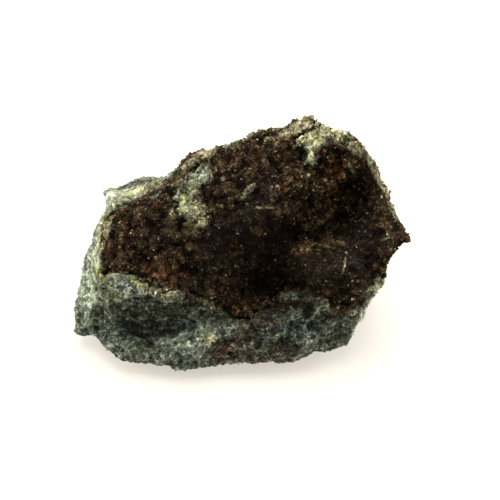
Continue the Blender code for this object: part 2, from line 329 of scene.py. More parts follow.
# %% Swellings of the crust and the rock together
# Each is an oval (across, up, length, width and turn) and a step in millimetres.
SWELLINGS = {
    "ledge behind": ((-15.0, 8.8, 2.8, 0.8, 3), 1.0 * UP_FACE),
    "peak": ((7.7, 18.0, 1.6, 1.0), -0.25 * UP_FACE),
    "crest over the upper window": ((-6.7, 13.6, 1.4, 1.0), -0.4 * UP_FACE),
    "crest beside the ledge": ((-10.8, 11.0, 1.2, 1.0), -0.8 * UP_FACE),
    "tip": ((20.4, -0.2, 0.9, 0.9), 0.8 * UP_FACE),
    "crest right of the peak": ((13.4, 14.4, 2.6, 1.6, -38), 0.65 * UP_FACE),
    "upper right rim": ((17.4, 9.8, 1.6, 1.0, -66), -0.3 * ACROSS),
    "crest left of the peak": ((-3.6, 13.6, 1.6, 1.2, 20), 0.5 * UP_FACE),
    "knob in the trough": ((6.7, -0.2, 1.3, 1.2), 0.9 * OUT_OF_FACE),
    "ridge beside the knob": ((10.6, 0.8, 2.4, 0.6), 0.5 * OUT_OF_FACE),
    "lump under the ridge": ((12.8, -3.6, 1.2, 1.4), 0.4 * OUT_OF_FACE),
    "lump over the cave": ((13.0, 2.8, 0.8, 0.8), 0.4 * OUT_OF_FACE),
}

# %% Swellings of the rock alone
ROCK_SWELLINGS = {
    "ledge at the lower left": ((-17.4, -3.8, 2.4, 0.9, -15), 0.7 * UP_FACE),
    "recess": ((-14.2, -9.8, 3.4, 1.8, 8), -0.5 * OUT_OF_FACE),
    "ridge under the recess": ((-8.8, -11.6, 5.0, 0.8, 15), 0.5 * OUT_OF_FACE),
    "lobe at the lower left": ((-15.6, -13.2, 2.0, 1.0, -30), 0.4 * OUT_OF_FACE),
    "left foot": ((-20.0, -13.4, 2.6, 1.8, -30), 1.3 * UP_FACE),
    "tooth at the foot": ((-8.6, -16.6, 1.4, 1.2), 0.4 * UP_FACE),
    "foot beside the tooth": ((-11.8, -15.8, 1.8, 1.2), -0.5 * UP_FACE),
    "middle of the foot": ((0.7, -16.0, 3.4, 1.4), 0.9 * UP_FACE),
    "right foot": ((9.2, -15.2, 2.6, 1.6, 10), 1.0 * UP_FACE),
    "left shoulder": ((-20.4, 5.0, 1.8, 1.6), 0.6 * ACROSS),
    "upper left window": ((-7.8, 5.8, 2.8, 1.6, 60), 0.6 * OUT_OF_FACE),
    "right arm of the upper left window": ((-5.8, 10.2, 1.8, 1.2, 60), 0.5 * OUT_OF_FACE),
    "upper right window": ((8.0, 14.6, 3.0, 1.2, 0), 0.4 * OUT_OF_FACE),
    "finger of the upper right window": ((8.2, 12.6, 1.7, 1.1, 80), 0.9 * OUT_OF_FACE),
    "rock over the upper left window": ((-6.6, 11.6, 1.0, 0.8), 0.6 * OUT_OF_FACE),
    "rock left of the upper left window": ((-9.6, 6.4, 0.9, 0.8), 0.6 * OUT_OF_FACE),
    "rock at the left end of the crust": ((-20.0, -2.6, 0.8, 0.8), 0.6 * OUT_OF_FACE),
    "corner at the upper left": ((-18.8, 7.0, 1.4, 1.0), 0.9 * UP_FACE - 0.5 * ACROSS),
}


# %% Swell both skins
def swell(obj, swellings):
    """Moves a skin by these steps, each strongest in the middle of its oval."""
    places = points_of(obj)
    steps = sum(np.outer(spot(places, *oval), step) for oval, step in swellings.values())
    move_points(obj, places + steps)


swell(crust, SWELLINGS)
swell(rock, {**SWELLINGS, **ROCK_SWELLINGS})
print(len(SWELLINGS), "swellings in both skins and", len(ROCK_SWELLINGS), "more in the rock")


# %% Measure from one skin to the other
def skin_tree(obj):
    return BVHTree.FromObject(obj, bpy.context.evaluated_depsgraph_get())


def distance_to(points, other):
    """How far each point is from the skin of another solid, in millimetres."""
    tree = skin_tree(other)
    return np.array([tree.find_nearest(Vector(point))[3] for point in points * MM]) / MM


def lies_under(points, other, reach):
    """1 for a point with the other solid over it, looking straight out of the leaning face."""
    tree = skin_tree(other)
    outwards = Vector(OUT_OF_FACE)
    hits = [tree.ray_cast(Vector(point), outwards, reach * MM)[0] for point in points * MM]
    return np.array([hit is not None for hit in hits], dtype=float)


def rising(values, start, width):
    """0 up to the start, then rising to 1 over this width."""
    return np.clip((values - start) / width, 0, 1)


# %% Grain of the rock
CRUST_COVER = 3.0
CALM_REACH = 0.5
CALM_DEPTH = 0.3
still = points_of(rock)
still_normals = normals_of(rock)
push(rock, "CLOUDS", size=3.0, height=0.8, noise_depth=3)
push(rock, "CLOUDS", size=1.7, height=-0.7, middle=0.3, noise_depth=1, noise_type="HARD_NOISE")
push(rock, "CLOUDS", size=0.6, height=0.5, noise_depth=2, noise_type="HARD_NOISE")

# Where the crust lies over the rock, the rock keeps still and well under it.
beside_crust = 1 - rising(distance_to(still, crust), 0, CALM_REACH)
covered = np.maximum(lies_under(still, crust, CRUST_COVER), beside_crust)[:, None]
calm = still - still_normals * CALM_DEPTH
move_points(rock, points_of(rock) * (1 - covered) + calm * covered)
keep_in_box(rock)
print("the crust covers", round(100 * float(covered.mean())), "% of the rock's points")

# %% [markdown]
# ## One crystal
# The small brown crystals are rhombic dodecahedra: twelve equal diamonds. That body is a cube
# with a low pyramid on each side. When the pyramids are half as high as the cube is wide, the
# triangles of two neighbours lie flat together and become one diamond.

# %% The crystal
deselect()
bpy.ops.mesh.primitive_cube_add(size=1)
crystal = bpy.context.object
crystal.name = "one_crystal"
bpy.ops.object.mode_set(mode="EDIT")
bpy.ops.mesh.select_all(action="SELECT")
bpy.ops.mesh.poke(offset=0.5)
bpy.ops.mesh.select_all(action="SELECT")
bpy.ops.mesh.dissolve_limited(angle_limit=math.radians(2))
bpy.ops.object.mode_set(mode="OBJECT")
print("a crystal has", len(crystal.data.polygons), "faces")


# %% [markdown]
# ## Strewing crystals
# Thousands of crystals are too many to place by hand, and too regular in an array. Geometry
# Nodes scatter points over a skin so that no two come closer than a set distance, turn a crystal
# at random on each, and make the whole crowd one mesh. Each crystal keeps a number of its own,
# its tone, which later tells its material how dark it is.


# %% A shorthand for nodes
def node(tree, kind, inputs=None, **settings):
    """Adds a node, sets it up, and gives its sockets values or the outputs of other nodes."""
    made = tree.nodes.new(kind)
    for key, value in settings.items():
        setattr(made, key, value)
    for key, value in (inputs or {}).items():
        if isinstance(value, bpy.types.NodeSocket):
            tree.links.new(value, made.inputs[key])
        else:
            made.inputs[key].default_value = value
    return made.outputs


# %% Random numbers in a recipe
def draw(tree, low, high, seed):
    """A random number, or a random vector, for each point."""
    vector = isinstance(low, tuple)
    first = 0 if vector else 2
    kind = "FLOAT_VECTOR" if vector else "FLOAT"
    limits = {first: low, first + 1: high, "Seed": seed}
    return node(tree, "FunctionNodeRandomValue", limits, data_type=kind)[0 if vector else 1]


# %% Patches to clump in
PATCH_EDGE = {"From Min": 0.45, "From Max": 0.58}


def patches(tree, size):
    """1 in patches about this many millimetres across, and 0 between them."""
    cloudy = {"Scale": 1 / (size * MM), "Detail": 2.0, "Roughness": 0.6}
    clouds = node(tree, "ShaderNodeTexNoise", cloudy)["Fac"]
    return node(tree, "ShaderNodeMapRange", {"Value": clouds, **PATCH_EDGE})[0]


# %% Points on a skin
# For each point that fits, so many are tried.
CROWDING = 2.0


def settled_points(tree, share, spacing, depth, seed):
    """Points at least the spacing apart, each sunk or lifted by up to the depth."""
    spread = {
        "Mesh": node(tree, "NodeGroupInput")[0],
        "Distance Min": spacing * MM,
        "Density Max": CROWDING / (spacing * MM) ** 2,
        "Density Factor": share,
        "Seed": seed,
    }
    kind = "GeometryNodeDistributePointsOnFaces"
    scatter = node(tree, kind, spread, distribute_method="POISSON")
    lift = {0: scatter["Normal"], "Scale": draw(tree, -depth * MM, depth * MM, seed + 1)}
    shift = node(tree, "ShaderNodeVectorMath", lift, operation="SCALE")[0]
    settling = {"Geometry": scatter["Points"], "Offset": shift}
    return node(tree, "GeometryNodeSetPosition", settling)[0]


# %% Sizes of the solids
# The power that makes small solids commoner than large ones, and how narrow and how wide
# a solid may turn out, as shares of its size.
MOSTLY_SMALL = 1.8
NARROWEST = 0.6
WIDEST = 1.35


def uneven_sizes(tree, sizes, seed):
    """A scale for each solid, between these two sizes and different along its three axes."""
    chance = {0: draw(tree, 0.0, 1.0, seed + 2), 1: MOSTLY_SMALL}
    often_small = node(tree, "ShaderNodeMath", chance, operation="POWER")[0]
    smallest, largest = (size * MM / 2 for size in sizes)
    limits = {"Value": often_small, "To Min": smallest, "To Max": largest}
    size = node(tree, "ShaderNodeMapRange", limits)[0]
    uneven = {0: draw(tree, (NARROWEST,) * 3, (WIDEST,) * 3, seed + 3), "Scale": size}
    return node(tree, "ShaderNodeVectorMath", uneven, operation="SCALE")[0]


# %% A recipe that strews
def strewing(name, shape, spacing, sizes, depth, seed, clumps=0.0):
    """A node group that turns a skin into a crowd of small solids. Lengths are in millimetres."""
    tree = bpy.data.node_groups.new(name, "GeometryNodeTree")
    tree.interface.new_socket("Geometry", in_out="INPUT", socket_type="NodeSocketGeometry")
    tree.interface.new_socket("Geometry", in_out="OUTPUT", socket_type="NodeSocketGeometry")
    share = node(tree, "GeometryNodeInputNamedAttribute", {"Name": "share"}, data_type="FLOAT")[0]
    if clumps:
        clumped = {0: share, 1: patches(tree, clumps)}
        share = node(tree, "ShaderNodeMath", clumped, operation="MULTIPLY")[0]
    placing = {
        "Points": settled_points(tree, share, spacing, depth, seed),
        "Instance": node(tree, "GeometryNodeObjectInfo", {"Object": shape})["Geometry"],
        "Rotation": draw(tree, (0.0, 0.0, 0.0), (math.tau, math.tau, math.tau), seed + 4),
        "Scale": uneven_sizes(tree, sizes, seed),
    }
    placed = node(tree, "GeometryNodeInstanceOnPoints", placing)[0]

    # The tone is drawn once for each solid, before the solids become one mesh.
    marking = {"Geometry": placed, "Name": "tone", "Value": draw(tree, 0.0, 1.0, seed + 5)}
    kind = "GeometryNodeStoreNamedAttribute"
    toned = node(tree, kind, marking, data_type="FLOAT", domain="INSTANCE")[0]
    real = node(tree, "GeometryNodeRealizeInstances", {"Geometry": toned})[0]
    node(tree, "NodeGroupOutput", {0: real})
    return tree


# %% Strew one crowd
def paint(obj, name, values):
    """Writes one number for each vertex, for a material or a scatter to read."""
    layer = obj.data.attributes.get(name) or obj.data.attributes.new(name, "FLOAT", "POINT")
    layer.data.foreach_set("value", np.clip(values, 0, 1).astype(np.float32))


def strew(name, skin, share, shape, spacing, sizes, depth, seed, clumps=0.0):
    """A crowd of small solids on the parts of a skin where the share is above 0."""
    crowd = skin.copy()
    crowd.data = skin.data.copy()
    crowd.name = name
    bpy.context.scene.collection.objects.link(crowd)
    paint(crowd, "share", share)
    apply(crowd, "NODES", node_group=strewing(name, shape, spacing, sizes, depth, seed, clumps))
    keep_in_box(crowd)
    crowd.data.materials.clear()
    crowd.data.shade_flat()
    print(name, "holds", len(crowd.data.polygons) // len(shape.data.polygons), "grains")
    return crowd


# %% [markdown]
# ## Where the colours lie
# A stone's colours follow its history: a dull green body with a pale coat on its edges,
# yellow-green and rusty where water seeped in beside the crust. Some ovals hold painted light
# instead: painted highlight on ridges that face the light, and painted shade in the recess, the
# trough and the cave.
# Each colour, and each kind of painted light, gets a list of ovals on the leaning face, added up
# into one number for each point of the skin. The materials read those numbers and break them up
# with noise, so no oval is seen as an oval.

# %% Pale stains and painted highlight on the rock
# Each oval is across, up, length, width, turn and strength.
ROCK_STAINS = {
    # Pale is partly the rock's pale coat and partly painted highlight on ridges and edges that face
    # the light.
    "pale": [
        (-20.2, 0.4, 6.5, 0.8, 79, 1.0),
        (-7.0, 5.1, 1.2, 1.0, -60, 0.8),
        (5.9, -14.2, 1.4, 0.7, 0, 0.6),
        (10.7, -9.4, 1.2, 0.8, 0, 0.6),
        (-18.3, -12.6, 1.2, 0.8, 0, 0.6),
        (-16.7, -6.2, 1.4, 0.9, 0, 0.6),
        (-6.2, -14.2, 1.6, 0.8, 10, 0.6),
        (-14.6, 7.6, 3.6, 0.7, 22, 1.0),
        (-23.0, -5.0, 7.0, 2.0, 80, 0.4),
        (-13.4, -5.0, 4.4, 0.8, -8, 0.5),
        (-20.7, -6.4, 1.4, 1.2, 0, 0.5),
        (-20.7, -9.4, 1.2, 1.4, 0, 0.7),
        (-18.4, -4.0, 1.4, 1.0, 0, 0.4),
        (-8.8, -11.3, 5.4, 0.8, 15, 0.8),
        (-8.8, -12.8, 2.0, 0.7, 15, 0.5),
        (-10.1, -15.7, 2.6, 0.5, 0, 0.4),
        (-2.2, -8.4, 1.6, 0.8, 0, 0.6),
        (-1.3, -10.4, 1.2, 0.8, 0, 0.5),
        (-11.8, 9.4, 1.8, 0.5, 20, 0.7),
        (-7.6, 4.9, 2.6, 2.0, 50, 1.0),
        (-7.2, 8.4, 1.8, 0.7, 60, 0.3),
        (8.0, 12.4, 1.8, 0.8, 80, 0.6),
        (8.4, 15.1, 4.6, 1.5, -12, 0.6),
        (-6.0, 9.6, 2.0, 1.2, 60, 0.6),
        (17.2, -4.6, 1.0, 0.8, 60, 0.8),
        (18.0, 8.0, 5.0, 0.8, -68, 0.7),
        (15.6, -7.8, 4.8, 0.7, 63, 0.65),
        (8.7, -8.3, 1.3, 0.22, 57, 0.8),
        (8.2, -12.1, 1.0, 0.22, 27, 0.9),
        (4.8, -6.0, 1.4, 0.4, 5, 0.5),
        (-14.2, -10.5, 1.4, 0.9, 0, 0.35),
        (-17.0, 7.6, 3.4, 1.0, 25, 0.7),
    ],
}

# %% Cream and misty stains on the rock
ROCK_STAINS |= {
    "cream": [
        (-6.9, 4.9, 1.4, 1.1, -60, 1.4),
        (-18.4, 6.6, 2.4, 0.8, 25, 0.3),
        (12.4, 14.9, 1.2, 0.6, -30, 0.8),
        (-13.0, -4.6, 2.4, 0.5, -8, 0.9),
        (-14.4, 8.0, 2.8, 0.7, 14, 0.9),
        (6.4, 15.2, 2.6, 1.3, 10, 1.2),
        (-20.0, 1.6, 2.4, 0.5, 79, 0.8),
        (10.0, 15.6, 2.2, 0.8, -30, 0.4),
        (8.3, 12.8, 1.6, 0.6, 75, 0.8),
        (13.5, 13.6, 3.6, 0.9, -40, 0.9),
        (11.8, 15.2, 2.2, 0.8, -35, 0.9),
        (16.6, 10.4, 1.8, 0.7, -65, 1.0),
        (8.2, 17.6, 2.6, 0.9, 0, 0.4),
        (-5.6, -12.0, 2.6, 1.8, 30, 0.5),
        (-0.8, -10.2, 1.4, 0.6, 35, 0.4),
        (3.4, -14.8, 1.6, 0.5, 0, 0.4),
        (-2.6, -14.8, 2.6, 0.6, 0, 0.5),
    ],
    "mist": [
        (-5.6, 10.4, 1.7, 0.9, 60, 1.0),
        (9.2, 14.8, 1.7, 0.5, 90, 0.3),
        (-17.2, -4.2, 2.8, 0.9, -12, 0.9),
        (-10.8, -5.8, 2.6, 0.6, -10, 0.4),
        (-13.6, -14.4, 3.4, 0.8, -14, 0.6),
        (7.5, -5.4, 0.6, 0.4, 0, 1.0),
        (10.0, -10.0, 2.6, 1.2, 30, 0.4),
        (-0.4, -12.6, 1.2, 0.7, 0, 0.6),
    ],
}

# %% Lime and rusty stains on the rock
ROCK_STAINS |= {
    "lime": [
        (-20.2, -2.8, 0.7, 0.6, 0, 0.9),
        (-17.6, -6.4, 1.6, 0.6, 12, 0.6),
        (-14.8, -4.0, 1.6, 0.5, -20, 1.0),
        (-12.6, -5.0, 2.4, 0.5, -12, 0.8),
        (-20.0, 3.0, 4.0, 0.5, 79, 0.45),
        (-5.6, -11.4, 1.4, 0.6, 14, 0.6),
        (-8.0, 7.8, 2.2, 0.8, 65, 1.0),
        (-18.8, -4.6, 1.6, 0.6, -40, 0.7),
        (-9.2, 4.8, 1.4, 1.2, 50, 0.8),
        (-19.9, -3.0, 1.0, 0.8, 0, 1.0),
        (6.8, 14.4, 0.9, 0.5, 10, 1.0),
        (9.2, 14.8, 1.0, 0.8, 0, 0.9),
        (7.8, 12.8, 1.6, 0.6, 75, 0.6),
        (-15.6, 8.0, 2.4, 0.5, 14, 0.4),
        (11.0, 16.0, 3.5, 0.6, -30, 0.5),
        (17.3, -4.1, 1.0, 0.6, 60, 0.8),
    ],
    "rust": [
        (-11.8, -4.7, 2.6, 0.4, 0, 1.0),
        (-3.4, -13.6, 3.2, 2.0, 15, 0.75),
        (-0.4, -11.0, 3.4, 1.6, 50, 0.8),
        (4.2, -13.6, 3.0, 1.4, 0, 0.65),
        (2.1, -15.2, 3.4, 0.9, 5, 0.9),
        (11.0, -12.2, 2.4, 0.8, 20, 0.6),
        (2.4, -9.6, 3.0, 0.7, 5, 0.9),
        (-21.0, 2.1, 0.6, 0.5, 80, 0.9),
        (9.0, 18.2, 2.0, 0.6, 0, 0.6),
    ],
}

# %% Painted shade and crusted places on the rock
ROCK_STAINS |= {
    # Painted shade: darkness laid into the colour in the recess, under ledges and in hollows, where
    # shade falls.
    "gloom": [
        (-10.6, -7.6, 4.0, 0.8, 4, 0.6),
        (-8.3, -6.4, 1.6, 1.0, -10, 1.0),
        (-9.9, -8.3, 1.4, 1.0, 0, 0.5),
        (-20.5, -11.1, 1.8, 0.3, -68, 0.6),
        (-14.4, -12.7, 1.6, 0.9, -10, 1.0),
        (0.8, -9.4, 1.3, 1.8, 0, 0.8),
        (3.6, -12.5, 2.2, 0.9, 0, 1.0),
        (4.6, -8.6, 1.6, 0.8, 0, 0.5),
        (9.4, -6.2, 1.8, 0.8, 0, 0.5),
        (12.8, -11.4, 1.5, 0.8, 50, 0.6),
        (7.0, -7.3, 3.6, 0.6, 2, 1.0),
        (3.4, -8.2, 3.4, 1.0, 10, 0.9),
        (8.6, -4.4, 2.6, 0.8, 10, 0.7),
        (11.5, -8.6, 3.0, 1.0, 20, 0.25),
        (-16.7, -11.0, 1.4, 1.0, 0, 0.9),
        (10.7, -11.2, 1.2, 0.7, 0, 0.7),
        (1.1, -9.4, 1.4, 1.0, 0, 1.0),
        (5.9, -12.8, 1.2, 0.8, 0, 0.9),
        (-13.8, 8.9, 3.4, 0.3, 4, 1.0),
    ],
    "crusted": [
        (-13.0, 7.6, 3.6, 0.7, 27, 0.8),
        (-13.4, 9.3, 3.2, 0.3, 4, 0.7),
        (-9.8, 9.8, 1.6, 0.9, 40, 1.0),
        (5.0, 17.4, 3.0, 0.7, 15, 0.8),
        (9.2, -5.0, 3.2, 1.2, 5, 1.3),
        (6.0, -4.8, 1.8, 0.6, 0, 1.0),
        (6.4, -7.2, 3.2, 0.5, 5, 0.8),
        (2.6, -7.2, 2.4, 1.0, 10, 0.8),
        (-2.0, -9.6, 2.6, 0.6, -35, 0.5),
        (-7.6, -6.2, 1.2, 0.7, -10, 1.0),
        (9.9, 13.2, 1.2, 0.7, 0, 1.0),
        (10.4, 14.9, 0.6, 0.5, 0, 0.9),
        (12.0, 13.5, 2.0, 0.6, -30, 1.0),
        (-3.2, -13.0, 1.6, 1.0, 30, 0.5),
        (13.0, -7.4, 3.6, 0.9, 25, 1.0),
        (-6.7, 6.7, 0.9, 0.8, 0, 1.6),
        (-8.8, 8.4, 0.8, 0.8, 60, 0.6),
        (-9.4, 4.4, 0.9, 0.5, 60, 0.7),
    ],
}

# %% Paint the stains on the rock
TURNED_AWAY = -0.6
TURN_FADE = 0.5
FAR_BEHIND = -14.0
DEPTH_FADE = 4.0
rock_points = points_of(rock)
facing = normals_of(rock) @ OUT_OF_FACE
behind = (rock_points - FACE_MIDDLE) @ OUT_OF_FACE

# An oval goes right through the stone. The stains end where the skin turns away or lies deep.
front = rising(facing, TURNED_AWAY, TURN_FADE) * rising(behind, FAR_BEHIND, DEPTH_FADE)
for name, ovals in ROCK_STAINS.items():
    paint(rock, name, front * spots(rock_points, ovals))
    print(name, "in", len(ovals), "places on the rock")

# %% [markdown]
# ## Painted light on bumps and painted shade in hollows
# Bumps on a stone catch the light and hollows hold shade. The materials paint that light and shade
# into the colour, so they must tell bumps from hollows, which a material can't do by itself. But a
# smoothed copy of the skin lies under its bumps and over its hollows, so the way from the copy to
# the skin tells them apart. A little smoothing shows the grain, and much smoothing shows the larger
# form.


# %% Relief of a skin
def relief_of(obj, rounds):
    """How far each point stands over a copy of the skin that is smoothed this many rounds."""
    rough, outwards = points_of(obj), normals_of(obj)
    apply(obj, "SMOOTH", factor=0.5, iterations=rounds)
    height = ((rough - points_of(obj)) * outwards).sum(axis=1)
    move_points(obj, rough)
    return height


# %% Relief and form of both skins
# Each is a skin, the name to paint, the rounds of smoothing and the range in millimetres.
RELIEFS = (
    (rock, "relief", 14, 0.45),
    (rock, "form", 110, 1.5),
    (crust, "relief", 20, 0.8),
    (crust, "form", 110, 2.2),
)
for skin, name, rounds, range_mm in RELIEFS:
    height = relief_of(skin, rounds)
    paint(skin, name, 0.5 + height / range_mm)
    print(skin.name, name, "stands out", round(float(np.percentile(height, 99)), 2), "mm")

# %% Seepage beside the crust
SEEP_REACH = 1.6
from_crust = distance_to(rock_points, crust)
open_rock = 1 - lies_under(rock_points, crust, CRUST_COVER)
paint(rock, "seep", np.exp(-from_crust / SEEP_REACH) * front)
print("open rock:", round(100 * float(open_rock.mean())), "% of its points")

# %% Tan stains with painted highlight, and rusty stains in the crust
# Each oval is across, up, length, width, turn and strength.
CRUST_STAINS = {
    # Tan is partly tan crystals and partly painted highlight on knobs, ridges and crests that face
    # the light. In the cave it is painted light that lifts the shade.
    "tan": [
        (6.7, 0.0, 1.7, 1.4, 0, 0.7),
        (10.8, 0.9, 2.8, 0.8, 0, 0.6),
        (13.0, -3.8, 1.6, 1.4, 0, 0.4),
        (12.8, 6.0, 2.2, 2.2, 0, 1.2),
        (-1.4, -8.0, 1.4, 0.8, 0, 1.0),
        (17.9, 3.4, 1.0, 2.4, 25, 0.8),
        (5.0, 8.0, 1.4, 1.2, 0, 0.6),
        (-3.0, 11.4, 3.4, 1.6, 20, 0.5),
        (4.0, 15.3, 2.8, 1.0, 10, 1.0),
        (12.6, 11.0, 2.2, 1.4, 0, 1.4),
        (10.6, 7.8, 2.0, 1.8, 0, 1.2),
        (0.8, 2.4, 0.9, 0.8, 0, 0.9),
        (-1.3, 0.3, 1.0, 0.9, 0, 0.7),
        (-13.4, -3.0, 1.4, 0.8, 0, 0.7),
        (-16.7, 3.5, 1.4, 1.4, 0, 0.6),
    ],
    "rust": [
        (-11.4, -3.0, 3.8, 1.4, 0, 1.0),
        (-16.8, 0.7, 2.0, 1.5, 40, 0.6),
        (11.5, 10.9, 1.6, 1.4, 0, 0.8),
        (-2.0, 14.5, 3.0, 1.0, 20, 0.5),
        (-19.0, 1.0, 3.0, 0.8, 80, 0.5),
        (4.8, -0.5, 2.2, 0.8, 0, 0.5),
    ],
}

# %% Olive stains and painted shade in the crust
CRUST_STAINS |= {
    "olive": [
        (7.9, 9.7, 0.9, 0.6, 20, 1.0),
        (-7.0, 12.0, 2.6, 0.8, 40, 0.8),
        (-9.6, 8.6, 1.6, 0.8, 60, 1.0),
        (7.4, 17.6, 2.2, 1.0, 0, 1.0),
        (-13.2, 1.1, 0.6, 0.5, 0, 1.0),
        (-7.7, 0.4, 0.8, 0.6, 0, 0.9),
        (-8.4, 2.8, 2.2, 1.0, 15, 1.0),
        (-10.4, 4.6, 1.6, 0.8, 40, 0.7),
        (4.6, 15.6, 3.0, 1.2, 15, 0.6),
        (14.6, 12.8, 3.2, 1.0, -45, 0.6),
        (9.4, 0.3, 2.4, 0.7, -5, 0.6),
        (17.6, 6.0, 2.8, 0.7, -60, 0.5),
        (-18.8, 3.4, 3.2, 0.7, 79, 0.8),
        (-3.1, 7.8, 0.6, 0.4, 0, 0.9),
        (8.0, 9.6, 0.8, 0.5, 20, 0.8),
        (3.0, 5.6, 1.6, 0.3, 0, 0.8),
        (12.0, 1.0, 1.6, 0.6, 70, 0.6),
        (-1.5, 6.2, 1.5, 1.0, 40, 0.5),
    ],
    # Painted shade: darkness laid into the crust's colour in the trough, the cave and the hollows
    # between lumps.
    "gloom": [
        (3.0, -3.6, 5.0, 3.2, 0, 0.85),
        (-10.4, 1.8, 1.2, 1.0, 0, 0.7),
        (18.8, 1.9, 1.2, 1.0, 0, 1.0),
        (-0.5, 5.1, 1.0, 1.0, 0, 0.6),
        (2.7, 8.3, 1.0, 1.0, 0, 0.5),
        (1.2, 6.8, 2.0, 4.0, 0, 1.0),
        (-5.0, 0.6, 1.6, 2.6, 0, 0.8),
        (15.9, 2.4, 1.4, 4.8, 0, 0.9),
        (12.8, 2.6, 2.0, 1.0, 0, 0.6),
        (8.3, -2.0, 2.2, 1.0, 0, 0.9),
        (12.0, -1.9, 3.0, 1.2, 0, 0.8),
        (-4.6, -2.0, 2.2, 1.2, 0, 0.8),
        (-7.8, -4.0, 1.8, 0.9, -20, 0.9),
        (-13.2, 1.6, 2.6, 1.8, 0, 0.7),
        (2.0, 2.4, 6.0, 2.2, 0, 0.7),
        (9.5, -2.4, 4.6, 2.8, 0, 1.0),
        (2.6, -0.6, 2.6, 3.2, 0, 0.8),
        (-2.0, 1.4, 3.4, 3.6, 0, 0.5),
        (12.5, -2.0, 2.4, 4.0, 0, 0.7),
        (16.0, 1.0, 2.2, 2.6, 0, 0.5),
        (-5.5, 2.0, 2.5, 4.0, 0, 0.4),
        (9.0, 6.5, 3.0, 2.5, 0, 0.4),
    ],
}

# %% Paint the stains in the crust
crust_points = points_of(crust)
strengths = {name: spots(crust_points, ovals) for name, ovals in CRUST_STAINS.items()}

# Tan is partly the crystals' colour and partly painted highlight where they stand out toward the
# light, so its strength is taken off the painted shade.
strengths["gloom"] -= strengths["tan"]
for name, values in strengths.items():
    paint(crust, name, values)
    print(name, "in", len(CRUST_STAINS[name]), "places in the crust")

# %% Where the crust is bare
# Here pale, dusty stone shows instead of brown. A streak is a long and narrow oval.
BARE_PLACES = {
    "diagonal patch": (-0.3, 7.8, 1.4, 0.42, 48, 1.3),
    "white streak near the top": (2.7, 14.8, 0.9, 0.25, 0, 1.2),
    "streak on the swelling": (12.4, -1.8, 2.2, 0.15, 74, 0.95),
    "crack on the tip": (18.0, 1.5, 0.9, 0.12, 20, 0.9),
    "cream speck": (-3.6, 9.5, 0.4, 0.35, 0, 1.0),
    "thin ridge": (1.9, 5.6, 1.2, 0.2, 0, 0.8),
    "left arm of the upper window": (-8.5, 11.5, 1.7, 0.45, 35, 0.85),
    "side of the upper window": (-8.9, 8.8, 1.4, 0.6, 45, 0.6),
    "crest by the peak": (8.6, 17.0, 2.6, 1.0, -12, 0.5),
    "under the peak": (7.0, 16.4, 1.6, 0.8, 0, 1.1),
    "over the upper left window": (-6.2, 11.9, 1.4, 0.5, 30, 0.8),
    "side of the upper left window": (-10.2, 5.2, 1.4, 0.7, 60, 0.6),
    "curl over the cave": (13.6, 10.9, 1.0, 0.25, -60, 1.0),
    "left rim": (-18.7, 4.2, 2.8, 0.5, 79, 1.1),
    "lower left rim": (-19.6, 1.2, 2.0, 0.4, 79, 1.0),
    "lower left edge": (-16.6, -3.1, 1.6, 0.5, -15, 0.7),
    "edge over the recess": (-13.2, -4.3, 2.2, 0.5, -8, 0.8),
    "tan crest": (4.6, 15.6, 1.6, 0.5, 15, 0.8),
    "top of the upper left window": (-5.8, 13.2, 1.5, 0.8, 20, 0.9),
    "foot of the upper left window": (-7.0, 4.2, 1.6, 1.0, -30, 1.2),
    "finger below the peak": (8.5, 11.0, 1.8, 0.5, 80, 0.6),
    "crest right of the peak": (13.2, 14.6, 3.6, 1.2, -40, 1.0),
    "upper right rim": (17.0, 10.5, 2.4, 0.7, -66, 1.1),
    "middle of the right rim": (17.7, 8.5, 1.8, 0.35, -66, 0.75),
    "right rim": (18.9, 5.0, 2.2, 0.5, -66, 0.7),
}
paint(crust, "pale", spots(crust_points, BARE_PLACES.values()))
print(len(BARE_PLACES), "bare places")

# %% [markdown]
# ## The crowds on the crust
# The crystals cover the upper side of the bed, and a few strays sit on the rock beside it, in
# clumps. One mesh of them all would be too large to handle, so the crust is shared out in four
# zones from left to right, each with its own crowd and its own seed.

# %% Crowds on the crust
CRYSTALS = {"spacing": 0.20, "sizes": (0.17, 0.42), "depth": 0.10}
UNDERSIDE = -0.35

# Skin that looks back into the stone carries no crystals.
upper_side = (normals_of(crust) @ OUT_OF_FACE > UNDERSIDE) * 1.0
across = on_face(crust_points)[0]
ZONES = {
    "left_crystals": across < -6.0,
    "middle_crystals": (across >= -6.0) & (across < 4.0),
    "right_crystals": (across >= 4.0) & (across < 12.0),
    "rim_crystals": across >= 12.0,
}
crowds = []
for number, (name, zone) in enumerate(ZONES.items()):
    crowds.append(strew(name, crust, upper_side * zone, crystal, seed=10 * number, **CRYSTALS))

# %% Stray crystals on the rock
STRAYS = {"spacing": 0.24, "sizes": (0.22, 0.56), "depth": 0.08, "clumps": 1.4}
STRAY_REACH = 1.5
CRUSTED_SHARE = 2.0
stray_share = np.exp(-((from_crust / STRAY_REACH) ** 2))
stray_share += CRUSTED_SHARE * spots(rock_points, ROCK_STAINS["crusted"])
stray_share *= front * open_rock
crowds.append(strew("stray_crystals", rock, stray_share, crystal, seed=90, **STRAYS))

# %% [markdown]
# ## Splinters in the rock
# Under a lens the rock itself is a felt of tiny splinters, pale and dark, with gaps between them.
# Bump in a material can darken such gaps but never breaks the outline, so real splinters are
# strewn over the whole block. One is a thin four-sided spike with its tip cut off.

# %% One splinter
deselect()
bpy.ops.mesh.primitive_cone_add(vertices=4, radius1=0.45, radius2=0.2, depth=2.4)
splinter = bpy.context.object
splinter.name = "one_splinter"
print("a splinter has", len(splinter.data.polygons), "faces")

